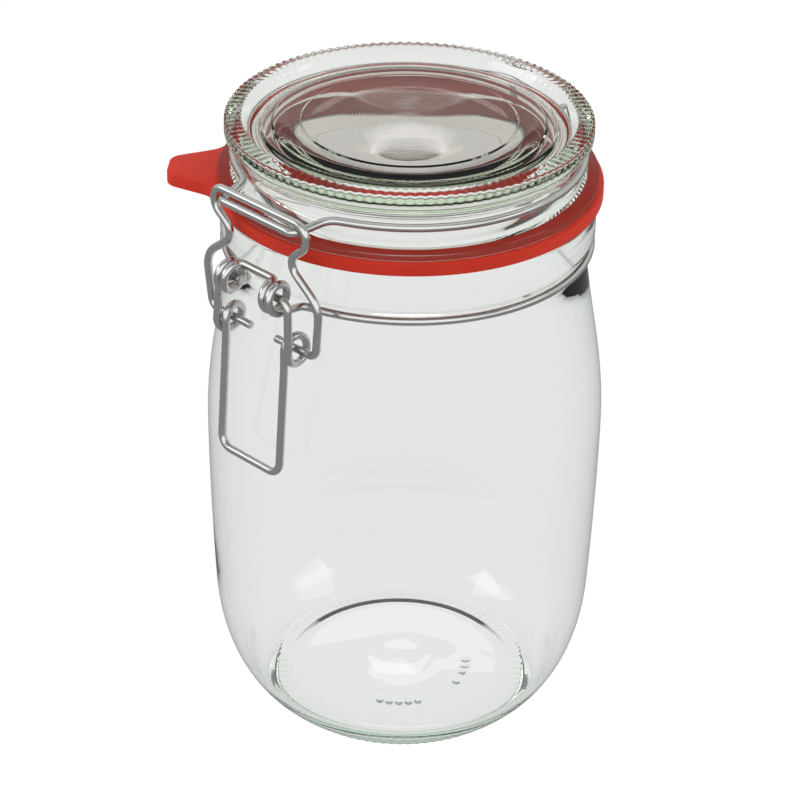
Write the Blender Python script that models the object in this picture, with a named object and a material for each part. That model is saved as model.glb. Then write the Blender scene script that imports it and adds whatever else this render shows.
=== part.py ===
"""Clip top jar: a glass storage jar and glass lid, a rubber seal and a wire clip.

The jar stands on the origin with +Z up. The clip is at the front (-Y) and the hinge at the back (+Y).
Wire routes are worked out as (across, out, up): across is X, out is the distance from the jar's axis
towards the clip or towards the hinge, and up is Z.
"""

import math

import bmesh
import bpy
from mathutils import Matrix, Vector

MM = 0.001

# Driving dimensions.
WIRE = 2.3 * MM  # thickness of all four wires
FIT = 0.3 * MM  # gap between pieces that touch
SEAL_INNER = 47.2 * MM  # radii of the flat rubber ring
SEAL_OUTER = 54.0 * MM
SEAL_THICK = 3.0 * MM
BODY_RADIUS = 56.7 * MM  # the jar at its widest
LIP_HEIGHT = 163.7 * MM  # the rim that the seal lies on
LINK_HALF_WIDTH = 17.7 * MM  # from the middle of the clip to a leg's centre, under the top bar
HANDLE_HALF_WIDTH = 11.6 * MM
PITCH = 2.5 * MM  # one turn of a coil moves this far along its axis

# Jar.
BASE_RADIUS = 38.6 * MM
PUSH_UP = 1.5 * MM  # how far the underside is hollowed
WALL = 3.6 * MM
BASE_THICK = 6.0 * MM
BODY_HEIGHT = 92.0 * MM  # where the body is widest
HEEL_HEIGHT = 36.0 * MM
HEEL_RADIUS = 55.0 * MM
NECK_RADIUS = 49.8 * MM
NECK_HEIGHT = 143.0 * MM
FINISH_RADIUS = 52.3 * MM  # the band of glass above the neck wire
MOUTH_RADIUS = 46.3 * MM
LIP_ROUND = 2.2 * MM

# Seal and lid.
SEAL_BOTTOM = LIP_HEIGHT + FIT
SEAT = SEAL_BOTTOM + SEAL_THICK + FIT  # the lid's face on the seal
TAB_ANGLE = math.radians(-48.5)  # seen from above, from the clip towards the left
TAB_REACH = 66.8 * MM  # from the axis to the tab's tip
TAB_TIP_HALF = 5.5 * MM
TAB_ROOT_HALF = 13.2 * MM
TAB_ROUND = 4.4 * MM
TAB_SHOULDER = 53.0 * MM  # where the tab's sides run out into the ring
TAB_FILLET = 8.0 * MM
FLANGE_RADIUS = 52.8 * MM
GROOVE_RADIUS = 47.0 * MM
GROOVE_HEIGHT = SEAT + 7.8 * MM
RIM_RADIUS = 50.8 * MM
LID_TOP = SEAT + 18.3 * MM
PANEL_RINGS = ((37.5 * MM, 0.35 * MM), (29.7 * MM, 0.3 * MM))  # radius and rise of each step

# Wires.
NECK_WIRE_RADIUS = 51.2 * MM
NECK_WIRE_HEIGHT = 148.8 * MM
EYELET_TURN = 3.9 * MM  # radius of the coils that carry the pins, to the wire's centre
EYELET_START = 6.9 * MM  # from the middle to a coil's first turn
EYELET_TURNS = 1.5
ROD_INSET = 1.7 * MM  # the rod between two eyelets, from the pivot in towards the jar
PIVOT_OUT = 58.3 * MM  # the lever's pivot, and the hinge behind it
PIVOT_UP = NECK_WIRE_HEIGHT + EYELET_TURN + 0.9 * MM
PIN_END = 5.2 * MM  # the free ends of the pivot pins, from the middle
ARM_HALF_WIDTH = 13.3 * MM  # the legs that bend in to those pins
LOOP_TURN = 3.3 * MM  # radius of the lever's coils, which carry the link, beside the handle
LOOP_GROWTH = 0.9 * MM  # they widen this much towards the arm
LOOP_OUT = 54.8 * MM
LOOP_UP = 138.4 * MM
HANDLE_OUT = 60.3 * MM
HANDLE_UP = 100.3 * MM
LINK_OUT = 56.0 * MM
LINK_UP = GROOVE_HEIGHT + 1.5 * MM
LINK_PIN_END = 5.0 * MM
LID_WIRE_RADIUS = GROOVE_RADIUS + WIRE / 2 + 0.25 * MM
LID_WIRE_LEAVES = math.radians(26)  # where it leaves the groove, from the clip or the hinge
LID_WIRE_TURN = 16.2 * MM  # from the middle to where it turns outward
NOSE_OUT = LINK_OUT + 1.4 * MM  # the lid wire's front bar, which the link hooks over
NOSE_UP = LINK_UP - 2.6 * MM
NOSE_HALF_WIDTH = 14.4 * MM
HINGE = Vector((0, PIVOT_OUT, PIVOT_UP))
LEVER_PIVOT = Vector((0, -PIVOT_OUT, PIVOT_UP))
LINK_PIVOT = Vector((0, -LOOP_OUT, LOOP_UP))

STEEL = (0.62, 0.62, 0.60)
JAR_SEGMENTS = 60
LID_SEGMENTS = 56
BEND_STEP = math.radians(30)  # largest turn between two points of a bend
COIL_STEPS = 12  # points in one turn of a coil


def clear_scene():
    for obj in list(bpy.data.objects):
        bpy.data.objects.remove(obj, do_unlink=True)


def material(name, colour, roughness, metallic=0.0, transmission=0.0):
    made = bpy.data.materials.new(name)
    made.use_nodes = True
    shader = made.node_tree.nodes["Principled BSDF"]
    shader.inputs["Base Color"].default_value = (*colour, 1.0)
    shader.inputs["Roughness"].default_value = roughness
    shader.inputs["Metallic"].default_value = metallic
    shader.inputs["Transmission Weight"].default_value = transmission
    return made


def add_object(name, data, look):
    obj = bpy.data.objects.new(name, data)
    bpy.context.scene.collection.objects.link(obj)
    obj.data.materials.append(look)
    return obj


def bezier(ends, handles, steps):
    """Points of a cubic Bezier curve in (radius, height), without its first point."""
    (start, end), (first, second) = ends, handles
    points = []
    for step in range(1, steps + 1):
        t = step / steps
        weights = ((1 - t) ** 3, 3 * t * (1 - t) ** 2, 3 * t * t * (1 - t), t**3)
        controls = (start, first, second, end)
        points.append(tuple(sum(w * c[axis] for w, c in zip(weights, controls)) for axis in (0, 1)))
    return points


def arc(centre, radius, start, end, steps):
    """Points of an arc in (radius, height); angles in degrees from the outward direction."""
    angles = [math.radians(start + (end - start) * step / steps) for step in range(steps + 1)]
    return [(centre[0] + radius * math.cos(a), centre[1] + radius * math.sin(a)) for a in angles]


def spin_profile(name, outline, segments, look):
    """A solid of revolution about Z from an outline of (radius, height) that starts and ends on the axis."""
    mesh = bpy.data.meshes.new(name)
    shape = bmesh.new()
    points = [shape.verts.new((radius, 0, height)) for radius, height in outline]
    edges = [shape.edges.new(pair) for pair in zip(points, points[1:])]
    bmesh.ops.spin(
        shape, geom=points + edges, cent=(0, 0, 0), axis=(0, 0, 1),
        angle=math.tau, steps=segments, use_merge=True,
    )
    bmesh.ops.remove_doubles(shape, verts=shape.verts, dist=1e-6)
    bmesh.ops.recalc_face_normals(shape, faces=shape.faces)
    shape.to_mesh(mesh)
    shape.free()
    return add_object(name, mesh, look)


def jar_outline():
    outer = [(0.0, PUSH_UP), (BASE_RADIUS - 8 * MM, PUSH_UP - 0.4 * MM)]
    outer += [(BASE_RADIUS - 3.6 * MM, 0.0), (BASE_RADIUS - 0.6 * MM, 0.0)]
    heel_start, heel_end = (BASE_RADIUS, 0.8 * MM), (HEEL_RADIUS, HEEL_HEIGHT)
    widest, neck = (BODY_RADIUS, BODY_HEIGHT), (NECK_RADIUS + 0.6 * MM, NECK_HEIGHT)
    outer.append(heel_start)
    outer += bezier((heel_start, heel_end), ((47.6 * MM, 7.5 * MM), (53.6 * MM, 19 * MM)), 6)
    outer += bezier((heel_end, widest), ((55.9 * MM, 52 * MM), (BODY_RADIUS, 76 * MM)), 3)
    outer += bezier((widest, neck), ((BODY_RADIUS, 112 * MM), (52.6 * MM, 124 * MM)), 6)
    outer += [(NECK_RADIUS, NECK_HEIGHT + 3.4 * MM), (NECK_RADIUS, NECK_WIRE_HEIGHT + 1.2 * MM)]
    outer += [(FINISH_RADIUS - 1.2 * MM, NECK_WIRE_HEIGHT + 2.4 * MM)]
    outer += [(FINISH_RADIUS, NECK_WIRE_HEIGHT + 4.0 * MM)]
    outer += arc((FINISH_RADIUS - LIP_ROUND, LIP_HEIGHT - LIP_ROUND), LIP_ROUND, 0, 90, 3)
    inner_round = 1.4 * MM
    inner = arc((MOUTH_RADIUS + inner_round, LIP_HEIGHT - inner_round), inner_round, 90, 180, 2)
    inside_widest = (BODY_RADIUS - WALL, BODY_HEIGHT - 2 * MM)
    inside_heel = (HEEL_RADIUS - WALL, HEEL_HEIGHT + 2 * MM)
    floor_edge = (36.0 * MM, BASE_THICK + PUSH_UP - 1.4 * MM)
    inner += [(MOUTH_RADIUS, NECK_HEIGHT + 5 * MM)]
    inner += bezier(
        (inner[-1], inside_widest), ((MOUTH_RADIUS, 126 * MM), (inside_widest[0], 114 * MM)), 6
    )
    inner += bezier(
        (inside_widest, inside_heel),
        ((inside_widest[0], 76 * MM), (inside_heel[0] + 0.9 * MM, 52 * MM)), 2,
    )
    inner += bezier(
        (inside_heel, floor_edge), ((50.2 * MM, 22 * MM), (45.5 * MM, floor_edge[1])), 5
    )
    inner.append((0.0, BASE_THICK + PUSH_UP))
    return outer + inner


def lid_outline():
    under = [(0.0, 12.6), (36.0, 12.2), (40.2, 11.7), (41.8, 10.1), (42.2, 7.6), (42.6, -5.6)]
    under += [(43.2, -6.9), (44.0, -6.9), (44.6, -6.2), (45.8, -3.6), (46.0, 0.0)]
    outside = [(FLANGE_RADIUS / MM - 0.6, 0.0), (FLANGE_RADIUS / MM, 0.6)]
    outside += [(FLANGE_RADIUS / MM, 2.2), (FLANGE_RADIUS / MM - 0.9, 3.4)]
    outside += [(48.3, 5.4), (GROOVE_RADIUS / MM, 6.7), (GROOVE_RADIUS / MM, 9.3)]
    outside += [(48.6, 11.8), (RIM_RADIUS / MM - 0.5, 13.6), (RIM_RADIUS / MM, 14.8)]
    outside += [(RIM_RADIUS / MM, 17.2), (RIM_RADIUS / MM - 0.6, 18.1)]
    outside += [(46.6, LID_TOP / MM - SEAT / MM), (45.6, 17.7), (43.8, 15.0), (42.6, 14.5)]
    profile = [(radius * MM, SEAT + height * MM) for radius, height in under + outside]
    height = SEAT + 15.9 * MM
    for radius, rise in PANEL_RINGS:
        profile += [(radius + 0.3 * MM, height), (radius - 0.3 * MM, height + rise)]
        height += rise + 0.25 * MM
    profile.append((0.0, height + 0.2 * MM))
    return profile


def rounded(corners):
    """A polyline of (point, bend radius) with each bend replaced by points of an arc."""
    points = [corners[0][0]]
    for (before, _), (corner, radius), (after, _) in zip(corners, corners[1:], corners[2:]):
        into, out = (corner - before).normalized(), (after - corner).normalized()
        turn = into.angle(out)
        if radius == 0 or turn < 0.01:
            points.append(corner)
            continue
        reach = radius * math.tan(turn / 2)
        centre = corner + (out - into).normalized() * (radius / math.cos(turn / 2))
        start = corner - into * reach - centre
        normal = into.cross(out).normalized()
        side = normal.cross(start)
        steps = max(1, math.ceil(turn / BEND_STEP))
        for step in range(steps + 1):
            angle = turn * step / steps
            points.append(centre + start * math.cos(angle) + side * math.sin(angle))
    points.append(corners[-1][0])
    return points


def coil(across, out, up, turn, start, turns, growth=0.0):
    """Points of a coil about an axis along X. start is the angle from straight up towards outward, turns is
    negative for one that runs the other way, and growth widens the coil from its start to its end."""
    steps = round(abs(turns) * COIL_STEPS)
    points = []
    for step in range(steps + 1):
        angle = start + math.tau * turns * step / steps
        radius = turn + growth * step / steps
        points.append(Vector((
            across + PITCH * abs(turns) * step / steps,
            out + radius * math.sin(angle),
            up + radius * math.cos(angle),
        )))
    return points


def eyelet():
    """From the middle of the short rod, through one coil, to where the wire meets its ring round the neck."""
    rod_out = PIVOT_OUT - ROD_INSET
    rod_up = PIVOT_UP + EYELET_TURN
    turns = coil(EYELET_START, PIVOT_OUT, PIVOT_UP, EYELET_TURN, 0, EYELET_TURNS)
    end = turns[-1]
    lead = rounded([
        (Vector((0, rod_out, rod_up)), 0),
        (Vector((EYELET_START, rod_out, rod_up)), 1.5 * MM),
        (turns[0] + Vector((0, 0.05 * MM, 0)), 0),
    ])[:-1]
    ring_out = math.sqrt(NECK_WIRE_RADIUS**2 - end.x**2)
    joins = math.asin((end.x + 5 * MM) / NECK_WIRE_RADIUS)
    leave = rounded([
        (end, 0),
        (Vector((end.x, ring_out, NECK_WIRE_HEIGHT)), 2.6 * MM),
        (ring_point(joins), 0),
    ])[1:]
    return lead + turns + leave, joins


def ring_point(angle, radius=NECK_WIRE_RADIUS, up=NECK_WIRE_HEIGHT):
    return Vector((radius * math.sin(angle), radius * math.cos(angle), up))


def ring_arc(start, end, radius, up, step=math.radians(7.5)):
    """Points strictly between two angles on a level ring."""
    count = max(1, round(abs(end - start) / step))
    return [ring_point(start + (end - start) * i / count, radius, up) for i in range(1, count)]


def to_front(points):
    return [Vector((p.x, -p.y, p.z)) for p in points]


def mirrored(points):
    return [Vector((-p.x, p.y, p.z)) for p in points]


def both_sides(half):
    """A route from its left end to its right end, from the half that starts in the middle."""
    return mirrored(half)[:0:-1] + half


def wire_object(name, route, look, closed=False):
    curve = bpy.data.curves.new(name, "CURVE")
    curve.dimensions = "3D"
    curve.bevel_depth = WIRE / 2
    curve.bevel_resolution = 2
    curve.use_fill_caps = not closed
    line = curve.splines.new("POLY")
    line.points.add(len(route) - 1)
    for slot, point in zip(line.points, route):
        slot.co = (*point, 1.0)
    line.use_cyclic_u = closed
    return add_object(name, curve, look)


def neck_wire_route():
    """One closed wire: two coils at the front carry the lever and two at the back carry the lid."""
    half, joins = eyelet()
    side = ring_arc(joins, math.pi - joins, NECK_WIRE_RADIUS, NECK_WIRE_HEIGHT)
    right = to_front(half) + to_front(side) + half[::-1]
    return right[:-1] + mirrored(right)[:0:-1]


def lid_wire_route():
    """From the middle of the nose, round the lid's groove, to a pin of the hinge."""
    leaves = ring_point(LID_WIRE_LEAVES, LID_WIRE_RADIUS, GROOVE_HEIGHT)
    turns_out = Vector((LID_WIRE_TURN, 46.2 * MM, GROOVE_HEIGHT))
    nose = rounded([
        (Vector((0, NOSE_OUT, NOSE_UP)), 0),
        (Vector((NOSE_HALF_WIDTH, NOSE_OUT, NOSE_UP)), 2.6 * MM),
        (Vector((NOSE_HALF_WIDTH + 0.1 * MM, LINK_OUT - 2 * MM, NOSE_UP)), 6.0 * MM),
        (turns_out, 6.0 * MM),
        (leaves, 0),
    ])
    rear = rounded([
        (leaves, 0),
        (turns_out, 6.0 * MM),
        (Vector((ARM_HALF_WIDTH, PIVOT_OUT, GROOVE_HEIGHT - 1 * MM)), 5.0 * MM),
        (Vector((ARM_HALF_WIDTH, PIVOT_OUT, PIVOT_UP)), 3.0 * MM),
        (Vector((PIN_END, PIVOT_OUT, PIVOT_UP)), 0),
    ])
    side = ring_arc(
        LID_WIRE_LEAVES, math.pi - LID_WIRE_LEAVES, LID_WIRE_RADIUS, GROOVE_HEIGHT
    )
    return both_sides(to_front(nose) + to_front(side) + rear)


def lever_route():
    """From the middle of the handle's bar up one leg, once round the coil, and in to the pin."""
    loop = coil(
        HANDLE_HALF_WIDTH, LOOP_OUT, LOOP_UP, LOOP_TURN, math.radians(90), -1, LOOP_GROWTH
    )
    leg_top = Vector((HANDLE_HALF_WIDTH, LOOP_OUT + LOOP_TURN, LOOP_UP - 5 * MM))
    leg = rounded([
        (Vector((0, HANDLE_OUT, HANDLE_UP)), 0),
        (Vector((HANDLE_HALF_WIDTH, HANDLE_OUT, HANDLE_UP)), 3.8 * MM),
        (leg_top, 20 * MM),
        (loop[0], 0),
    ])
    arm = rounded([
        (loop[-1], 0),
        (Vector((ARM_HALF_WIDTH, PIVOT_OUT, PIVOT_UP)), 3.0 * MM),
        (Vector((PIN_END, PIVOT_OUT, PIVOT_UP)), 0),
    ])
    return both_sides(to_front(leg[:-1] + loop + arm[1:]))


def link_route():
    """From the middle of the top bar down the waisted leg to the pin in the lever's coil."""
    leg = (  # half width, share of the way down, bend radius
        (LINK_HALF_WIDTH, 0.0, 3.6 * MM),
        (17.9 * MM, 0.16, 4.6 * MM),
        (9.6 * MM, 0.325, 4.0 * MM),
        (22.1 * MM, 0.58, 8.0 * MM),
        (20.4 * MM, 1.0, 3.0 * MM),
        (LINK_PIN_END, 1.0, 0.0),
    )
    corners = [(Vector((0, LINK_OUT, LINK_UP)), 0)]
    for across, share, bend in leg:
        out = LINK_OUT + (LOOP_OUT - LINK_OUT) * share
        corners.append((Vector((across, out, LINK_UP + (LOOP_UP - LINK_UP) * share)), bend))
    return both_sides(to_front(rounded(corners)))


def tab_outline():
    """The tab's edge as (angle, radius) points round the axis, from its left root to its right root."""
    half = [
        (Vector((TAB_TIP_HALF, TAB_REACH, 0)), TAB_ROUND),
        (Vector((TAB_ROOT_HALF - 1 * MM, TAB_SHOULDER, 0)), TAB_FILLET),
        (Vector((TAB_ROOT_HALF + 6 * MM, SEAL_OUTER - 3.2 * MM, 0)), 0),
    ]
    corners = [(Vector((-p.x, p.y, 0)), bend) for p, bend in reversed(half)] + half
    return [p for p in rounded(corners) if p.length > SEAL_OUTER]


def make_seal(look):
    """A flat ring with a tab, as one outline lifted to its thickness."""
    tab = tab_outline()
    first = math.atan2(tab[0].x, tab[0].y)
    last = math.atan2(tab[-1].x, tab[-1].y)
    outer = [ring_point(a, SEAL_OUTER, 0) for a in spaced(last, first + math.tau, LID_SEGMENTS)]
    edge = tab + outer[1:-1]
    mesh = bpy.data.meshes.new("gasket")
    shape = bmesh.new()
    outside = [shape.verts.new(p) for p in edge]
    inside = [
        shape.verts.new(ring_point(math.atan2(p.x, p.y), SEAL_INNER, 0)) for p in edge
    ]
    count = len(edge)
    for i in range(count):
        j = (i + 1) % count
        shape.faces.new((outside[i], outside[j], inside[j], inside[i]))
    bmesh.ops.remove_doubles(shape, verts=shape.verts, dist=1e-6)
    lifted = bmesh.ops.extrude_face_region(shape, geom=list(shape.faces))["geom"]
    moved = [item for item in lifted if isinstance(item, bmesh.types.BMVert)]
    bmesh.ops.translate(shape, verts=moved, vec=(0, 0, SEAL_THICK))
    for vertex in shape.verts:
        vertex.co.y = -vertex.co.y
    bmesh.ops.recalc_face_normals(shape, faces=shape.faces)
    shape.to_mesh(mesh)
    shape.free()
    seal = add_object("gasket", mesh, look)
    seal.location.z = SEAL_BOTTOM
    seal.rotation_euler.z = TAB_ANGLE
    return seal


def spaced(start, end, count):
    return [start + (end - start) * i / count for i in range(count + 1)]


def wire_about(name, route, pivot):
    """A moving wire with its origin on the axis that it turns about."""
    look = material(name + "_steel", STEEL, 0.25, metallic=1.0)
    wire = wire_object(name, [point - pivot for point in route], look)
    wire.location = pivot
    return wire


def hang_on_hinge(pieces):
    """The lid's pieces turn together, on an empty at the hinge's axis."""
    hinge = bpy.data.objects.new("lid_hinge", None)
    hinge.location = HINGE
    bpy.context.scene.collection.objects.link(hinge)
    for piece in pieces:
        piece.parent = hinge
        piece.matrix_parent_inverse = Matrix.Translation(-HINGE)


def main():
    clear_scene()
    glass = material("jar_glass", (0.86, 0.92, 0.89), 0.03, transmission=1.0)
    lid_glass = material("lid_glass", (0.80, 0.90, 0.84), 0.03, transmission=1.0)
    rubber = material("gasket_rubber", (0.52, 0.03, 0.02), 0.55)
    neck_steel = material("neck_wire_steel", STEEL, 0.25, metallic=1.0)
    spin_profile("jar_glass", jar_outline(), JAR_SEGMENTS, glass)
    wire_object("neck_wire", neck_wire_route(), neck_steel, closed=True)
    lid = spin_profile("lid_glass", lid_outline(), LID_SEGMENTS, lid_glass)
    lid_wire = wire_about("lid_wire", lid_wire_route(), HINGE)
    hang_on_hinge([lid, make_seal(rubber), lid_wire])
    wire_about("lever", lever_route(), LEVER_PIVOT)
    wire_about("link", link_route(), LINK_PIVOT)


main()
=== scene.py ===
"""Clip top jar: clear glass jar and lid, red rubber seal and bright steel wires.

The jar stands on the origin, +Z up, with its clip towards -Y and its hinge towards +Y. Sizes are in metres.
"""

import math

import bmesh
import bpy
from mathutils import Matrix, Vector

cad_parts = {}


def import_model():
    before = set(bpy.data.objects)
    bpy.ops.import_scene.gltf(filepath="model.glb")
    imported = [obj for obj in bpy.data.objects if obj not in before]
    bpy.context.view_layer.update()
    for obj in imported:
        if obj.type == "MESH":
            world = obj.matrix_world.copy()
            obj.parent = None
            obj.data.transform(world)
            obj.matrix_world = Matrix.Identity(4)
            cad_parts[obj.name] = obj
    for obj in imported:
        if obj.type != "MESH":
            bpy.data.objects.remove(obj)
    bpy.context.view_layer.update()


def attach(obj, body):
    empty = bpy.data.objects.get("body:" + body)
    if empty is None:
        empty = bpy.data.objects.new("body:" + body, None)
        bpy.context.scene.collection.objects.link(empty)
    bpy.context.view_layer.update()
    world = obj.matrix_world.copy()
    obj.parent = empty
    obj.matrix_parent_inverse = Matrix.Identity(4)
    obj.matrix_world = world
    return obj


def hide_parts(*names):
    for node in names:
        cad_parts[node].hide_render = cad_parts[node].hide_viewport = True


MM = 0.001

# Sizes of the jar.
BODY_RADIUS = 56.7 * MM
BODY_HEIGHT = 92.0 * MM
BASE_RADIUS = 38.6 * MM
PUSH_UP = 1.5 * MM
BASE_THICK = 6.0 * MM
BASE_STEP = 0.55 * MM
HEEL_HEIGHT = 36.0 * MM
HEEL_RADIUS = 55.0 * MM
WALL = 3.6 * MM
NECK_RADIUS = 49.8 * MM
NECK_HEIGHT = 143.0 * MM
MOUTH_RADIUS = 46.3 * MM
LIP_HEIGHT = 163.7 * MM
JAR_SEGMENTS = 288

# Marks under the jar's base.
BASE_KNURLS = 96
KNURL_DEPTH = 0.16 * MM
KNURL_BAND = (34.6 * MM, 38.4 * MM)
KNURL_TOP = 1.0 * MM
DOT_CIRCLE = 20.0 * MM
DOT_BAND = (17.0 * MM, 23.0 * MM)
DOT_TOP = 3.0 * MM
DOT_HEIGHT = 0.7 * MM
DOT_RADIUS = 0.75 * MM
DOT_ANGLES = (-62, -54, -46, -38, -30, 12, 24, 34, 44)

# Sizes of the lid.
SEAT = LIP_HEIGHT + 3.6 * MM
GROOVE_RADIUS = 47.0 * MM
RIM_INNER = 43.0 * MM
RIM_FOOT = SEAT + 12.0 * MM
RIM_STEP = 1.2 * MM
RIM_RIBS = 120
RIB_DEPTH = 0.38 * MM
RIB_INNER = 45.9 * MM
RIB_TOP = SEAT + 18.3 * MM
RIB_FOOT = SEAT + 15.8 * MM
RIB_FADE = 2.4 * MM
LID_SEGMENTS = 6 * RIM_RIBS

# Sizes of the seal.
SEAL_BOTTOM = LIP_HEIGHT + 0.02 * MM
SEAL_TOP = SEAT + 0.03 * MM
SEAL_INNER = 47.2 * MM
SEAL_OUTER = 54.0 * MM
TAB_ANGLE = math.radians(-48.5)
TAB_REACH = 66.8 * MM
TAB_TIP_HALF = 5.5 * MM
TAB_ROOT_HALF = 13.2 * MM
TAB_SHOULDER = 53.0 * MM

# Sizes of the wires.
WIRE = 2.3 * MM
GROOVE_HEIGHT = SEAT + 7.8 * MM
NECK_WIRE_RADIUS = 51.2 * MM
NECK_WIRE_HEIGHT = 148.8 * MM
EYELET_TURN = 3.9 * MM
EYELET_START = 6.9 * MM
EYELET_TURNS = 1.5
ROD_INSET = 1.7 * MM
PITCH = 2.5 * MM
PIVOT_OUT = 58.3 * MM
PIVOT_UP = NECK_WIRE_HEIGHT + EYELET_TURN + 0.9 * MM
PIN_END = 5.2 * MM
ARM_HALF_WIDTH = 13.3 * MM
LOOP_TURN = 3.3 * MM
LOOP_GROWTH = 0.9 * MM
LOOP_OUT = 54.8 * MM
LOOP_UP = 138.4 * MM
HANDLE_OUT = 60.3 * MM
HANDLE_UP = 100.3 * MM
HANDLE_HALF_WIDTH = 11.6 * MM
LINK_OUT = 56.0 * MM
LINK_UP = GROOVE_HEIGHT + 1.5 * MM
LINK_HALF_WIDTH = 17.7 * MM
LINK_PIN_END = 5.0 * MM
LID_WIRE_RADIUS = GROOVE_RADIUS + WIRE / 2 + 0.25 * MM
LID_WIRE_LEAVES = math.radians(26)
LID_WIRE_TURN = 16.2 * MM
NOSE_OUT = LINK_OUT + 1.4 * MM
NOSE_UP = LINK_UP - 2.6 * MM
NOSE_HALF_WIDTH = 14.4 * MM

# How finely shapes are drawn.
WIRE_BEND_STEP = math.radians(9)
PROFILE_BEND_STEP = math.radians(18)
RING_STEP = math.radians(2.5)
STRAIGHT = 0.01
COIL_STEPS = 40
WIRE_FACETS = 6
SEAL_STEPS = 180
MERGE = 1e-6
SHARP = math.radians(60)
EDGE_ROUND = 0.25 * MM
EDGE_STEPS = 3


# Shaping tools.


def bezier(start, end, first, second, steps):
    """Points of a cubic curve in (radius, height), without its first point."""
    points = []
    for step in range(1, steps + 1):
        t = step / steps
        weights = ((1 - t) ** 3, 3 * t * (1 - t) ** 2, 3 * t * t * (1 - t), t**3)
        controls = (start, first, second, end)
        points.append(tuple(sum(w * c[axis] for w, c in zip(weights, controls)) for axis in (0, 1)))
    return points


def rounded(corners, bend_step=WIRE_BEND_STEP):
    """A polyline of (point, bend radius) with each bend replaced by points of an arc."""
    points = [corners[0][0]]
    for (before, _), (corner, radius), (after, _) in zip(corners, corners[1:], corners[2:]):
        into, out = (corner - before).normalized(), (after - corner).normalized()
        turn = into.angle(out)
        if radius == 0 or turn < STRAIGHT:
            points.append(corner)
            continue
        reach = radius * math.tan(turn / 2)
        centre = corner + (out - into).normalized() * (radius / math.cos(turn / 2))
        start = corner - into * reach - centre
        side = into.cross(out).normalized().cross(start)
        steps = max(1, math.ceil(turn / bend_step))
        for step in range(steps + 1):
            angle = turn * step / steps
            points.append(centre + start * math.cos(angle) + side * math.sin(angle))
    points.append(corners[-1][0])
    return points


def soft_profile(corners):
    """(radius, height, bend radius) corners in mm as a rounded (radius, height) outline in metres."""
    line = rounded([(Vector((r, 0, h)) * MM, bend * MM) for r, h, bend in corners], PROFILE_BEND_STEP)
    return [(max(p.x, 0.0), p.z) for p in line]


def densified(outline, longest):
    """The outline with its long steps divided, for shapes that are worked on after the spin."""
    points = [outline[0]]
    for (r0, h0), (r1, h1) in zip(outline, outline[1:]):
        count = max(1, math.ceil(math.hypot(r1 - r0, h1 - h0) / longest))
        points += [(r0 + (r1 - r0) * i / count, h0 + (h1 - h0) * i / count) for i in range(1, count + 1)]
    return points


def spun(name, outline, segments, finish_shape=None):
    """A solid of revolution about Z whose outline starts and ends on the axis."""
    shape = bmesh.new()
    points = [shape.verts.new((radius, 0, height)) for radius, height in outline]
    edges = [shape.edges.new(pair) for pair in zip(points, points[1:])]
    bmesh.ops.spin(
        shape, geom=points + edges, cent=(0, 0, 0), axis=(0, 0, 1),
        angle=math.tau, steps=segments, use_merge=True,
    )
    bmesh.ops.remove_doubles(shape, verts=shape.verts, dist=MERGE)
    bmesh.ops.recalc_face_normals(shape, faces=shape.faces)
    if finish_shape:
        finish_shape(shape)
    return finished(name, shape)


def soften_sharp_edges(shape):
    sharp = [edge for edge in shape.edges if edge.calc_face_angle(0) > SHARP]
    if sharp:
        bmesh.ops.bevel(
            shape, geom=sharp, affect="EDGES", offset=EDGE_ROUND, segments=EDGE_STEPS,
            profile=0.5, material=-1,
        )


def finished(name, shape):
    mesh = bpy.data.meshes.new(name)
    shape.to_mesh(mesh)
    shape.free()
    mesh.shade_smooth()
    piece = bpy.data.objects.new(name, mesh)
    bpy.context.scene.collection.objects.link(piece)
    return piece


# Glass.


def jar_outline():
    base = soft_profile([
        (0, 1.5, 0), (30.6, 1.1, 8), (35.0, 0.0, 1.6), (38.0, 0.0, 0.8), (38.6, 0.8, 0.5), (39.4, 1.5, 0),
    ])[:-1]
    heel_start, heel_end = (BASE_RADIUS, 0.8 * MM), (HEEL_RADIUS, HEEL_HEIGHT)
    widest, neck = (BODY_RADIUS, BODY_HEIGHT), (NECK_RADIUS + 0.6 * MM, NECK_HEIGHT)
    outer = densified(base, BASE_STEP) + bezier(
        heel_start, heel_end, (47.6 * MM, 7.5 * MM), (53.6 * MM, 19 * MM), 26
    )
    outer += bezier(heel_end, widest, (55.9 * MM, 52 * MM), (BODY_RADIUS, 76 * MM), 14)
    outer += bezier(widest, neck, (BODY_RADIUS, 112 * MM), (52.6 * MM, 124 * MM), 22)
    outer += soft_profile([
        (50.5, 142.0, 0), (49.8, 145.4, 3), (49.8, 149.6, 1.2), (52.3, 152.4, 1.4),
        (52.3, 163.7, 2.2), (46.3, 163.7, 1.4), (46.3, 150.0, 0),
    ])[1:]
    inside_widest = (BODY_RADIUS - WALL, BODY_HEIGHT - 2 * MM)
    inside_heel = (HEEL_RADIUS - WALL, HEEL_HEIGHT + 2 * MM)
    floor_edge = (36.0 * MM, BASE_THICK + PUSH_UP - 1.4 * MM)
    inner = [(MOUTH_RADIUS, NECK_HEIGHT + 5 * MM)]
    inner += bezier(inner[0], inside_widest, (MOUTH_RADIUS, 126 * MM), (inside_widest[0], 114 * MM), 24)
    inner += bezier(
        inside_widest, inside_heel,
        (inside_widest[0], 76 * MM), (inside_heel[0] + 0.9 * MM, 52 * MM), 10,
    )
    inner += bezier(inside_heel, floor_edge, (50.2 * MM, 22 * MM), (45.5 * MM, floor_edge[1]), 22)
    inner += bezier(floor_edge, (0, BASE_THICK + PUSH_UP), (30 * MM, floor_edge[1]), (16 * MM, 8.4 * MM), 10)
    return outer + inner


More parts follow.
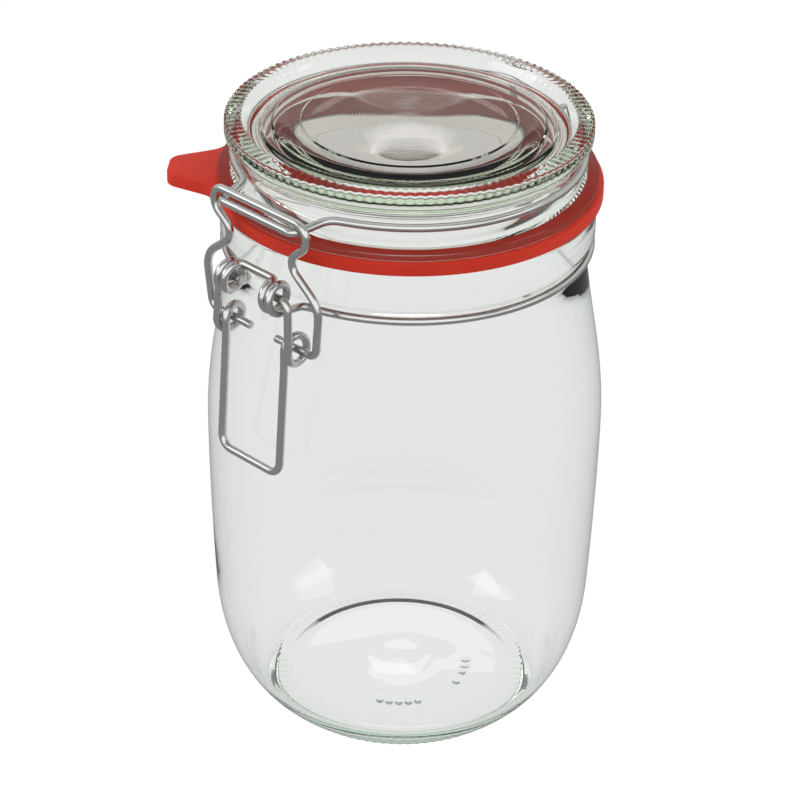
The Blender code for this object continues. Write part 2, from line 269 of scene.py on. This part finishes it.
def mark_base(shape):
    """Fine knurls round the bearing ring and a broken circle of dots inside it, on the underside."""
    turns = [math.radians(angle) for angle in DOT_ANGLES]
    dots = [Vector((DOT_CIRCLE * math.cos(a), DOT_CIRCLE * math.sin(a), 0)) for a in turns]
    for vertex in shape.verts:
        radius = math.hypot(vertex.co.x, vertex.co.y)
        if vertex.co.z < KNURL_TOP and KNURL_BAND[0] < radius < KNURL_BAND[1]:
            turn = math.atan2(vertex.co.y, vertex.co.x)
            vertex.co.z += KNURL_DEPTH * (1 - math.cos(BASE_KNURLS * turn))
        elif vertex.co.z < DOT_TOP and DOT_BAND[0] < radius < DOT_BAND[1]:
            flat = Vector((vertex.co.x, vertex.co.y, 0))
            near = min((flat - dot).length for dot in dots)
            vertex.co.z -= DOT_HEIGHT * math.exp(-((near / DOT_RADIUS) ** 2))


# The ceiling of the lid's hollow: its height over the seat in mm, and how steeply it falls outwards, in
# degrees, at each radius. It sinks to a shallow ring swell, rises again and turns down at the wall.
CEILING_TOP = 12.4
CEILING_SLOPES = (
    (0, 0), (8, 2.6), (12, 3), (16, 3), (22, 2.4), (26, 1),
    (29, -1), (32, -4), (34, -7), (36, -8), (38, -3), (40, 5),
)
# Where its points lie, and how far the corner at the wall lies below the last of them.
CEILING_RADII = (*range(0, 26, 2), *range(26, 41))
CEILING_DROP = 0.8


def ceiling_slope(radius):
    """The slope in degrees at a radius, straight between those of the list."""
    for (inner, first), (outer, last) in zip(CEILING_SLOPES, CEILING_SLOPES[1:]):
        if radius <= outer:
            return first + (last - first) * (radius - inner) / (outer - inner)
    return CEILING_SLOPES[-1][1]


def lid_ceiling():
    """(radius, height) points in mm, from the middle down and up its slopes."""
    points = [(CEILING_RADII[0], CEILING_TOP)]
    for inner, outer in zip(CEILING_RADII, CEILING_RADII[1:]):
        fall = (outer - inner) * math.tan(math.radians(ceiling_slope((inner + outer) / 2)))
        points.append((outer, points[-1][1] - fall))
    return points


def lid_outline():
    seat = SEAT / MM
    under = [(*point, 0) for point in lid_ceiling()]
    under += [(41.9, under[-1][1] - CEILING_DROP, 2.0), (42.6, -5.6, 1)]
    under += [(43.1, -6.9, 0.8), (44.0, -6.9, 0.6), (45.8, -3.6, 2), (46.0, 0.0, 0.3)]
    outside = [(52.8, 0.0, 0.6), (52.8, 2.5, 1.0), (48.6, 5.2, 2.5), (47.0, 6.9, 1.2), (47.0, 9.5, 1.6)]
    outside += [(48.8, 12.0, 2.5), (50.8, 13.9, 1.4), (50.8, 18.1, 0.9), (46.2, 18.3, 0.7)]
    outside += [(43.8, 14.7, 1.6), (41.6, 14.6, 1.2), (40.6, 15.7, 1.2)]
    top = [(37.9, 15.9, 0.3), (37.4, 16.35, 0.3), (30.1, 16.45, 0.3), (29.6, 16.8, 0.3), (0, 17.0, 0)]
    corners = [(r, seat + h, bend) for r, h, bend in under + outside + top]
    outline = soft_profile(corners)
    rim = [i for i, (radius, height) in enumerate(outline) if radius > RIM_INNER and height > RIM_FOOT]
    first, last = rim[0], rim[-1] + 1
    return outline[:first] + densified(outline[first:last], RIM_STEP) + outline[last:]


def rib_rim(shape):
    """Radial ribs across the top of the rim, dying away down its outer edge."""
    for vertex in shape.verts:
        radius = math.hypot(vertex.co.x, vertex.co.y)
        if radius < RIB_INNER or vertex.co.z < RIB_FOOT:
            continue
        down = min(1.0, max(0.0, (RIB_TOP - vertex.co.z) / RIB_FADE))
        ripple = 0.5 - 0.5 * math.cos(RIM_RIBS * math.atan2(vertex.co.y, vertex.co.x))
        depth = RIB_DEPTH * ripple * (1 - down)
        vertex.co.z -= depth
        vertex.co.xy *= 1 - 0.6 * depth / radius


# Seal.


def new_points(made):
    return [item for item in made["geom"] if isinstance(item, bmesh.types.BMVert)]


def tab_edge():
    half = [
        (Vector((TAB_TIP_HALF, TAB_REACH, 0)), 4.4 * MM),
        (Vector((TAB_ROOT_HALF - 1 * MM, TAB_SHOULDER, 0)), 8.0 * MM),
        (Vector((TAB_ROOT_HALF + 6 * MM, SEAL_OUTER - 3.2 * MM, 0)), 0),
    ]
    corners = [(Vector((-p.x, p.y, 0)), bend) for p, bend in reversed(half)] + half
    return [p for p in rounded(corners) if p.length > SEAL_OUTER]


def make_seal():
    """A flat rubber ring with a pull tab: one outline lifted to its thickness, with soft edges."""
    tab = tab_edge()
    first, last = (math.atan2(tab[end].x, tab[end].y) for end in (0, -1))
    sweep = [last + (first + math.tau - last) * i / SEAL_STEPS for i in range(1, SEAL_STEPS)]
    edge = [Vector((p.x, p.y, 0)) for p in tab]
    edge += [Vector((SEAL_OUTER * math.sin(a), SEAL_OUTER * math.cos(a), 0)) for a in sweep]
    shape = bmesh.new()
    outside = [shape.verts.new(p) for p in edge]
    rim = [shape.edges.new(pair) for pair in zip(outside, outside[1:] + outside[:1])]
    for vertex in new_points(bmesh.ops.extrude_edge_only(shape, edges=rim)):
        vertex.co = vertex.co.normalized() * SEAL_INNER
    moved = new_points(bmesh.ops.extrude_face_region(shape, geom=list(shape.faces)))
    bmesh.ops.translate(shape, verts=moved, vec=(0, 0, SEAL_TOP - SEAL_BOTTOM))
    turned = Matrix.Rotation(TAB_ANGLE, 4, "Z") @ Matrix.Diagonal((1, -1, 1, 1))
    bmesh.ops.transform(shape, matrix=Matrix.Translation((0, 0, SEAL_BOTTOM)) @ turned, verts=shape.verts)
    bmesh.ops.recalc_face_normals(shape, faces=shape.faces)
    soften_sharp_edges(shape)
    return finished("seal", shape)


# Wires.


def coil(across, out, up, turn, start, turns, growth=0.0):
    steps = round(abs(turns) * COIL_STEPS)
    points = []
    for step in range(steps + 1):
        angle = start + math.tau * turns * step / steps
        radius = turn + growth * step / steps
        points.append(Vector((
            across + PITCH * abs(turns) * step / steps,
            out + radius * math.sin(angle),
            up + radius * math.cos(angle),
        )))
    return points


def ring_point(angle, radius, up):
    return Vector((radius * math.sin(angle), radius * math.cos(angle), up))


def ring_arc(start, end, radius, up):
    count = max(1, round(abs(end - start) / RING_STEP))
    return [ring_point(start + (end - start) * i / count, radius, up) for i in range(1, count)]


def to_front(points):
    return [Vector((p.x, -p.y, p.z)) for p in points]


def mirrored(points):
    return [Vector((-p.x, p.y, p.z)) for p in points]


def both_sides(half):
    return mirrored(half)[:0:-1] + half


def neck_wire_route():
    rod_out, rod_up = PIVOT_OUT - ROD_INSET, PIVOT_UP + EYELET_TURN
    turns = coil(EYELET_START, PIVOT_OUT, PIVOT_UP, EYELET_TURN, 0, EYELET_TURNS)
    end = turns[-1]
    lead = rounded([
        (Vector((0, rod_out, rod_up)), 0),
        (Vector((EYELET_START, rod_out, rod_up)), 1.5 * MM),
        (turns[0] + Vector((0, 0.05 * MM, 0)), 0),
    ])[:-1]
    joins = math.asin((end.x + 5 * MM) / NECK_WIRE_RADIUS)
    leave = rounded([
        (end, 0),
        (Vector((end.x, math.sqrt(NECK_WIRE_RADIUS**2 - end.x**2), NECK_WIRE_HEIGHT)), 2.6 * MM),
        (ring_point(joins, NECK_WIRE_RADIUS, NECK_WIRE_HEIGHT), 0),
    ])[1:]
    half = lead + turns + leave
    side = ring_arc(joins, math.pi - joins, NECK_WIRE_RADIUS, NECK_WIRE_HEIGHT)
    right = to_front(half) + to_front(side) + half[::-1]
    return right[:-1] + mirrored(right)[:0:-1]


def lid_wire_route():
    leaves = ring_point(LID_WIRE_LEAVES, LID_WIRE_RADIUS, GROOVE_HEIGHT)
    turns_out = Vector((LID_WIRE_TURN, 46.2 * MM, GROOVE_HEIGHT))
    nose = rounded([
        (Vector((0, NOSE_OUT, NOSE_UP)), 0),
        (Vector((NOSE_HALF_WIDTH, NOSE_OUT, NOSE_UP)), 2.6 * MM),
        (Vector((NOSE_HALF_WIDTH + 0.1 * MM, LINK_OUT - 2 * MM, NOSE_UP)), 6.0 * MM),
        (turns_out, 6.0 * MM),
        (leaves, 0),
    ])
    rear = rounded([
        (leaves, 0),
        (turns_out, 6.0 * MM),
        (Vector((ARM_HALF_WIDTH, PIVOT_OUT, GROOVE_HEIGHT - 1 * MM)), 5.0 * MM),
        (Vector((ARM_HALF_WIDTH, PIVOT_OUT, PIVOT_UP)), 3.0 * MM),
        (Vector((PIN_END, PIVOT_OUT, PIVOT_UP)), 0),
    ])
    side = ring_arc(LID_WIRE_LEAVES, math.pi - LID_WIRE_LEAVES, LID_WIRE_RADIUS, GROOVE_HEIGHT)
    return both_sides(to_front(nose) + to_front(side) + rear)


def lever_route():
    loop = coil(
        HANDLE_HALF_WIDTH, LOOP_OUT, LOOP_UP, LOOP_TURN, math.radians(90), -1, LOOP_GROWTH
    )
    leg = rounded([
        (Vector((0, HANDLE_OUT, HANDLE_UP)), 0),
        (Vector((HANDLE_HALF_WIDTH, HANDLE_OUT, HANDLE_UP)), 3.8 * MM),
        (Vector((HANDLE_HALF_WIDTH, LOOP_OUT + LOOP_TURN, LOOP_UP - 5 * MM)), 20 * MM),
        (loop[0], 0),
    ])
    arm = rounded([
        (loop[-1], 0),
        (Vector((ARM_HALF_WIDTH, PIVOT_OUT, PIVOT_UP)), 3.0 * MM),
        (Vector((PIN_END, PIVOT_OUT, PIVOT_UP)), 0),
    ])
    return both_sides(to_front(leg[:-1] + loop + arm[1:]))


def link_route():
    leg = (
        (LINK_HALF_WIDTH, 0.0, 3.6 * MM), (17.9 * MM, 0.16, 4.6 * MM), (9.6 * MM, 0.325, 4.0 * MM),
        (22.1 * MM, 0.58, 8.0 * MM), (20.4 * MM, 1.0, 3.0 * MM), (LINK_PIN_END, 1.0, 0.0),
    )
    corners = [(Vector((0, LINK_OUT, LINK_UP)), 0)]
    for across, share, bend in leg:
        out = LINK_OUT + (LOOP_OUT - LINK_OUT) * share
        corners.append((Vector((across, out, LINK_UP + (LOOP_UP - LINK_UP) * share)), bend))
    return both_sides(to_front(rounded(corners)))


def wire_piece(name, route, closed=False):
    """A round wire along the route; free ends are cut square with a small chamfer."""
    curve = bpy.data.curves.new(name + "_route", "CURVE")
    curve.dimensions = "3D"
    curve.bevel_depth = WIRE / 2
    curve.bevel_resolution = WIRE_FACETS
    curve.use_fill_caps = not closed
    line = curve.splines.new("POLY")
    line.points.add(len(route) - 1)
    for slot, point in zip(line.points, route):
        slot.co = (*point, 1.0)
    line.use_cyclic_u = closed
    guide = bpy.data.objects.new(name + "_route", curve)
    shape = bmesh.new()
    made = bpy.data.meshes.new_from_object(guide)
    shape.from_mesh(made)
    bpy.data.meshes.remove(made)
    bpy.data.objects.remove(guide)
    bpy.data.curves.remove(curve)
    bmesh.ops.remove_doubles(shape, verts=shape.verts, dist=MERGE)
    bmesh.ops.recalc_face_normals(shape, faces=shape.faces)
    soften_sharp_edges(shape)
    return finished(name, shape)


# Materials.


GLASS_BEND = 1.5
JAR_TINT, JAR_DEPTH = (0.78, 0.90, 0.80), 19.0
LID_TINT, LID_DEPTH = (0.74, 0.89, 0.70), 14.0
# Painted shade: the warm darker tone painted into the lid's middle panel.
PANEL_SHADE_TONE = (0.73, 0.69, 0.66)
RING_SPACING = 0.9 * MM
RUBBER_TONES = ((0.62, 0.036, 0.018), (0.74, 0.048, 0.026))
RUBBER_GLOSS = 0.1
STEEL_COLOUR = (0.58, 0.58, 0.57)
STEEL_WEAR = 0.10


def nodes_of(look):
    return look.node_tree.nodes, look.node_tree.links


def feed(links, value, socket):
    """Gives a socket a plain number or another socket's value."""
    if isinstance(value, (int, float)):
        socket.default_value = value
    else:
        links.new(value, socket)


def reckoned(nodes, links, operation, *values):
    """The outcome of one sum on numbers or sockets."""
    node = nodes.new("ShaderNodeMath")
    node.operation = operation
    for socket, value in zip(node.inputs, values):
        feed(links, value, socket)
    return node.outputs[0]


def ramped(nodes, links, value, start, end, low, high):
    """A smooth change from low to high as the value goes from start to end."""
    change = nodes.new("ShaderNodeMapRange")
    change.interpolation_type = "SMOOTHSTEP"
    for socket, number in (("From Min", start), ("From Max", end), ("To Min", low), ("To Max", high)):
        change.inputs[socket].default_value = number
    links.new(value, change.inputs["Value"])
    return change.outputs["Result"]


def from_axis(nodes, links):
    """How far a point of the piece lies from the jar's axis, and how high."""
    where = nodes.new("ShaderNodeTexCoord")
    flat = nodes.new("ShaderNodeVectorMath")
    flat.operation = "MULTIPLY"
    flat.inputs[1].default_value = (1, 1, 0)
    radius = nodes.new("ShaderNodeVectorMath")
    radius.operation = "LENGTH"
    split = nodes.new("ShaderNodeSeparateXYZ")
    links.new(where.outputs["Object"], flat.inputs[0])
    links.new(where.outputs["Object"], split.inputs[0])
    links.new(flat.outputs["Vector"], radius.inputs[0])
    return radius.outputs["Value"], split.outputs["Z"]


def new_group(name, sockets_in, sockets_out):
    group = bpy.data.node_groups.new(name, "ShaderNodeTree")
    for socket, value in sockets_in:
        made = group.interface.new_socket(socket, in_out="INPUT", socket_type="NodeSocketFloat")
        made.default_value = value
    for socket in sockets_out:
        group.interface.new_socket(socket, in_out="OUTPUT", socket_type="NodeSocketFloat")
    enter = group.nodes.new("NodeGroupInput")
    leave = group.nodes.new("NodeGroupOutput")
    return group, enter, leave


def moulded_glass_group():
    """Slow waviness of glass that cooled in a mould, as a height."""
    group, enter, leave = new_group("moulded_glass", [("Wave Size", 30.0)], ["Height"])
    nodes, links = group.nodes, group.links
    where = nodes.new("ShaderNodeTexCoord")
    slow = nodes.new("ShaderNodeTexNoise")
    slow.inputs["Detail"].default_value = 1.5
    links.new(where.outputs["Object"], slow.inputs["Vector"])
    links.new(enter.outputs["Wave Size"], slow.inputs["Scale"])
    links.new(slow.outputs["Fac"], leave.inputs["Height"])
    return group


def panel_rings_group():
    """Fine rings that the cooling mould leaves in the middle of the lid's top, as a height."""
    group, enter, leave = new_group("panel_rings", [("Spacing", RING_SPACING), ("Depth", 0.02)], ["Height"])
    nodes, links = group.nodes, group.links
    radius, up = from_axis(nodes, links)
    turns = reckoned(nodes, links, "DIVIDE", radius, enter.outputs["Spacing"])
    height = reckoned(nodes, links, "SINE", reckoned(nodes, links, "MULTIPLY", turns, math.tau))
    fade = ramped(nodes, links, radius, 14 * MM, 26 * MM, 1.0, 0.0)
    on_top = reckoned(nodes, links, "GREATER_THAN", up, SEAT + 15 * MM)
    for factor in (fade, on_top, enter.outputs["Depth"]):
        height = reckoned(nodes, links, "MULTIPLY", height, factor)
    links.new(height, leave.inputs["Height"])
    return group


def add_height(look, group):
    """Adds a group's height to the one that the material's bump already takes."""
    nodes, links = nodes_of(look)
    taken = nodes["Bump"].inputs["Height"]
    marks = nodes.new("ShaderNodeGroup")
    marks.node_tree = group
    total = reckoned(nodes, links, "ADD", taken.links[0].from_socket, marks.outputs["Height"])
    links.new(total, taken)


def bump(look, height, strength, distance):
    nodes, links = nodes_of(look)
    node = nodes.new("ShaderNodeBump")
    node.inputs["Strength"].default_value = strength
    node.inputs["Distance"].default_value = distance
    links.new(height, node.inputs["Height"])
    links.new(node.outputs["Normal"], nodes["Principled BSDF"].inputs["Normal"])


def new_look(name, colour, roughness, metallic=0.0):
    look = bpy.data.materials.new(name)
    look.use_nodes = True
    shader = look.node_tree.nodes["Principled BSDF"]
    shader.inputs["Base Color"].default_value = (*colour, 1)
    shader.inputs["Roughness"].default_value = roughness
    shader.inputs["Metallic"].default_value = metallic
    return look, shader


def glass_look(name, group, tint, depth, wave_size, wave_height):
    """Clear glass with the soft green that builds up where it is thick."""
    look, shader = new_look(name, (1, 1, 1), 0.0)
    shader.inputs["Transmission Weight"].default_value = 1.0
    shader.inputs["IOR"].default_value = GLASS_BEND
    nodes, links = nodes_of(look)
    body = nodes.new("ShaderNodeVolumeAbsorption")
    body.inputs["Color"].default_value = (*tint, 1)
    body.inputs["Density"].default_value = depth
    links.new(body.outputs[0], nodes["Material Output"].inputs["Volume"])
    waves = nodes.new("ShaderNodeGroup")
    waves.node_tree = group
    waves.inputs["Wave Size"].default_value = wave_size
    bump(look, waves.outputs["Height"], 1.0, wave_height)
    return look


def shade_lid_panel(look):
    """Painted shade: the lid's thin middle is painted a little darker than its rim, with a warm tone."""
    nodes, links = nodes_of(look)
    radius, up = from_axis(nodes, links)
    inside = ramped(nodes, links, radius, 39 * MM, 42 * MM, 1.0, 0.0)
    high = ramped(nodes, links, up, SEAT + 9 * MM, SEAT + 11 * MM, 0.0, 1.0)
    tone = nodes.new("ShaderNodeMix")
    tone.data_type = "RGBA"
    links.new(reckoned(nodes, links, "MULTIPLY", inside, high), tone.inputs["Factor"])
    clear, shaded = (socket for socket in tone.inputs if socket.type == "RGBA")
    clear.default_value = (1, 1, 1, 1)
    shaded.default_value = (*PANEL_SHADE_TONE, 1)
    mixed = next(socket for socket in tone.outputs if socket.type == "RGBA")
    links.new(mixed, nodes["Principled BSDF"].inputs["Base Color"])


def rubber_look():
    """Matt red rubber, a little cloudy, with a fine grain."""
    look, shader = new_look("seal_rubber", RUBBER_TONES[0], 0.5)
    shader.inputs["Specular IOR Level"].default_value = RUBBER_GLOSS
    nodes, links = nodes_of(look)
    where = nodes.new("ShaderNodeTexCoord")
    grain = nodes.new("ShaderNodeTexNoise")
    grain.inputs["Scale"].default_value = 900
    grain.inputs["Detail"].default_value = 3
    cloud = nodes.new("ShaderNodeTexNoise")
    cloud.inputs["Scale"].default_value = 40
    tones = nodes.new("ShaderNodeValToRGB")
    for stop, colour in zip(tones.color_ramp.elements, RUBBER_TONES):
        stop.color = (*colour, 1)
    rough = nodes.new("ShaderNodeMapRange")
    rough.inputs["To Min"].default_value = 0.42
    rough.inputs["To Max"].default_value = 0.6
    for texture in (grain, cloud):
        links.new(where.outputs["Object"], texture.inputs["Vector"])
    links.new(cloud.outputs["Fac"], tones.inputs["Fac"])
    links.new(tones.outputs["Color"], shader.inputs["Base Color"])
    links.new(grain.outputs["Fac"], rough.inputs["Value"])
    links.new(rough.outputs["Result"], shader.inputs["Roughness"])
    bump(look, grain.outputs["Fac"], 0.25, 0.05 * MM)
    return look


def drawn_wire_group():
    """Uneven polish and faint die marks of drawn steel wire."""
    group, enter, leave = new_group(
        "drawn_wire", [("Polish", 0.16), ("Wear", STEEL_WEAR), ("Scale", 260.0)], ["Roughness", "Height"]
    )
    nodes, links = group.nodes, group.links
    where = nodes.new("ShaderNodeTexCoord")
    spots = nodes.new("ShaderNodeTexNoise")
    spots.inputs["Detail"].default_value = 2
    links.new(where.outputs["Object"], spots.inputs["Vector"])
    links.new(enter.outputs["Scale"], spots.inputs["Scale"])
    spread = reckoned(
        nodes, links, "MULTIPLY_ADD", spots.outputs["Fac"], enter.outputs["Wear"], enter.outputs["Polish"]
    )
    links.new(spread, leave.inputs["Roughness"])
    links.new(spots.outputs["Fac"], leave.inputs["Height"])
    return group


def steel_look(name, group, polish):
    """Bright steel wire; a higher polish number is duller."""
    look, shader = new_look(name, STEEL_COLOUR, polish, metallic=1.0)
    nodes, links = nodes_of(look)
    finish = nodes.new("ShaderNodeGroup")
    finish.node_tree = group
    finish.inputs["Polish"].default_value = polish
    links.new(finish.outputs["Roughness"], shader.inputs["Roughness"])
    bump(look, finish.outputs["Height"], 0.25, 0.006 * MM)
    return look


# Studio.

CAMERA_AZIMUTH = math.radians(44.5)
CAMERA_ELEVATION = math.radians(30.1837)
CAMERA_ROLL = math.radians(0.97089)
CAMERA_DISTANCE = 859.06 * MM
CAMERA_OFFSET = (1.2413 * MM, -4.3853 * MM)
CAMERA_AIM = Vector((0, 0, 90 * MM))
CAMERA_LENS = 133.506
CAMERA_SENSOR = 36

FLOOR_HALF = 6.0
FLOOR_DROP = 0.2 * MM

# How bright the studio is for each kind of ray, where 1 is white.
SEEN_WHITE = 1.02
IN_GLASS = 0.2
FLOOR_IN_STEEL = 0.32
FLOOR_BACK, FLOOR_FRONT = 0.84, 0.53
BACKDROP = 0.87
ROOM_LOW, ROOM_HIGH = 0.54, 0.86
STEEL_BACK, STEEL_SIDES, STEEL_FRONT = 0.75, 0.18, 1.5


def make_camera():
    across = Vector((math.cos(CAMERA_AZIMUTH), math.sin(CAMERA_AZIMUTH), 0))
    level = Vector((-math.sin(CAMERA_AZIMUTH), math.cos(CAMERA_AZIMUTH), 0))
    ahead = level * math.cos(CAMERA_ELEVATION) - Vector((0, 0, math.sin(CAMERA_ELEVATION)))
    above = across.cross(ahead)
    right = across * math.cos(CAMERA_ROLL) + above * math.sin(CAMERA_ROLL)
    up = above * math.cos(CAMERA_ROLL) - across * math.sin(CAMERA_ROLL)
    place = CAMERA_AIM - ahead * CAMERA_DISTANCE - right * CAMERA_OFFSET[0] - up * CAMERA_OFFSET[1]
    camera = bpy.data.objects.new("camera", bpy.data.cameras.new("camera"))
    bpy.context.scene.collection.objects.link(camera)
    turn = Matrix((right, up, -ahead)).transposed().to_4x4()
    camera.matrix_world = Matrix.Translation(place) @ turn
    camera.data.sensor_width = CAMERA_SENSOR
    camera.data.lens = CAMERA_LENS
    camera.data.clip_start, camera.data.clip_end = 0.01, 50
    bpy.context.scene.camera = camera


def towards_camera(nodes, links, vector):
    """How far a position or direction lies towards the camera's side."""
    dot = nodes.new("ShaderNodeVectorMath")
    dot.operation = "DOT_PRODUCT"
    dot.inputs[1].default_value = (math.sin(CAMERA_AZIMUTH), -math.cos(CAMERA_AZIMUTH), 0)
    links.new(vector, dot.inputs[0])
    return dot.outputs["Value"]


def as_each_ray_sees(nodes, links, through, in_steel):
    """White for the camera, and for other rays a level of their own.

    The levels are those seen through glass, in soft steel and as a mirror image in glass.
    """
    path = nodes.new("ShaderNodeLightPath")
    seen = through
    choices = (
        ("Is Glossy Ray", in_steel),
        ("Is Singular Ray", IN_GLASS),
        ("Is Transmission Ray", through),
        ("Is Camera Ray", SEEN_WHITE),
    )
    for kind, level in choices:
        mix = nodes.new("ShaderNodeMix")
        links.new(path.outputs[kind], mix.inputs["Factor"])
        links.new(seen, mix.inputs["A"])
        feed(links, level, mix.inputs["B"])
        seen = mix.outputs["Result"]
    return seen


def make_floor():
    """A white table that falls off into the darker room on the camera's side."""
    mesh = bpy.data.meshes.new("floor")
    shape = bmesh.new()
    bmesh.ops.create_grid(shape, x_segments=1, y_segments=1, size=FLOOR_HALF)
    shape.to_mesh(mesh)
    shape.free()
    floor = bpy.data.objects.new("floor", mesh)
    floor.location.z = -FLOOR_DROP
    bpy.context.scene.collection.objects.link(floor)
    look = bpy.data.materials.new("pale_floor")
    look.use_nodes = True
    nodes, links = nodes_of(look)
    nodes.remove(nodes["Principled BSDF"])
    where = nodes.new("ShaderNodeTexCoord")
    glow = nodes.new("ShaderNodeEmission")
    near = towards_camera(nodes, links, where.outputs["Object"])
    through = ramped(nodes, links, near, 70 * MM, 360 * MM, FLOOR_BACK, FLOOR_FRONT)
    links.new(as_each_ray_sees(nodes, links, through, FLOOR_IN_STEEL), glow.inputs["Strength"])
    links.new(glow.outputs[0], nodes["Material Output"].inputs["Surface"])
    floor.data.materials.append(look)


def make_world():
    """A white backdrop and ceiling with a darker room behind the camera.

    Steel sees a bright front, a dimmer back and dark sides.
    """
    world = bpy.data.worlds.new("studio")
    bpy.context.scene.world = world
    world.use_nodes = True
    nodes, links = world.node_tree.nodes, world.node_tree.links
    where = nodes.new("ShaderNodeTexCoord")
    split = nodes.new("ShaderNodeSeparateXYZ")
    links.new(where.outputs["Generated"], split.inputs[0])
    near = towards_camera(nodes, links, where.outputs["Generated"])
    front = ramped(nodes, links, split.outputs["Z"], 0.28, 0.75, ROOM_LOW, ROOM_HIGH)
    side = ramped(nodes, links, near, -0.1, 0.6, 0.0, 1.0)
    room = nodes.new("ShaderNodeMix")
    room.inputs["A"].default_value = BACKDROP
    links.new(side, room.inputs["Factor"])
    links.new(front, room.inputs["B"])
    steel_front = ramped(nodes, links, near, 0.2, 0.8, STEEL_SIDES, STEEL_FRONT)
    steel_back = ramped(nodes, links, near, -0.15, 0.15, STEEL_BACK, STEEL_SIDES)
    in_steel = reckoned(nodes, links, "MAXIMUM", steel_front, steel_back)
    backdrop = nodes["Background"]
    backdrop.inputs["Color"].default_value = (1, 1, 1, 1)
    seen = as_each_ray_sees(nodes, links, room.outputs["Result"], in_steel)
    links.new(seen, backdrop.inputs["Strength"])


def make_light(name, place, size, power, aim=CAMERA_AIM):
    lamp = bpy.data.lights.new(name, "AREA")
    lamp.shape = "RECTANGLE"
    lamp.size, lamp.size_y = size
    lamp.energy = power
    light = bpy.data.objects.new(name, lamp)
    light.location = place
    light.rotation_euler = (aim - Vector(place)).to_track_quat("-Z", "Y").to_euler()
    bpy.context.scene.collection.objects.link(light)


def main():
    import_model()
    moulded, drawn = moulded_glass_group(), drawn_wire_group()
    jar_glass = glass_look("jar_glass", moulded, JAR_TINT, JAR_DEPTH, 16.0, 0.3 * MM)
    lid_glass = glass_look("lid_glass", moulded, LID_TINT, LID_DEPTH, 40.0, 0.12 * MM)
    add_height(lid_glass, panel_rings_group())
    # Paints shade into the lid's middle panel.
    shade_lid_panel(lid_glass)
    parts = [
        (spun("jar", jar_outline(), JAR_SEGMENTS, mark_base), "jar", "jar_glass", jar_glass),
        (spun("lid", lid_outline(), LID_SEGMENTS, rib_rim), "lid", "lid_glass", lid_glass),
        (make_seal(), "lid", "gasket", rubber_look()),
        (wire_piece("neck_ring", neck_wire_route(), closed=True), "jar", "neck_wire",
         steel_look("neck_steel", drawn, 0.16)),
        (wire_piece("lid_bail", lid_wire_route()), "lid", "lid_wire",
         steel_look("lid_steel", drawn, 0.17)),
        (wire_piece("clip_lever", lever_route()), "lever", "lever",
         steel_look("lever_steel", drawn, 0.19)),
        (wire_piece("clip_link", link_route()), "link", "link",
         steel_look("link_steel", drawn, 0.18)),
    ]
    for piece, body, node, look in parts:
        piece.data.materials.append(look)
        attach(piece, body)
        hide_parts(node)
    make_camera()
    make_floor()
    make_world()
    make_light("key", (-0.73, -0.95, 0.78), (0.9, 0.6), 3.2)
    make_light("fill", (1.26, 0.68, 0.75), (0.8, 0.6), 2.4)
    make_light("window", (-0.612, 0.623, 0.687), (0.10, 0.10), 0.05, Vector((0, 0, SEAT + 17 * MM)))
    scene = bpy.context.scene
    scene.view_settings.view_transform = "Standard"
    scene.cycles.max_bounces = 24
    scene.cycles.transmission_bounces = 24
    scene.cycles.glossy_bounces = 8


main()
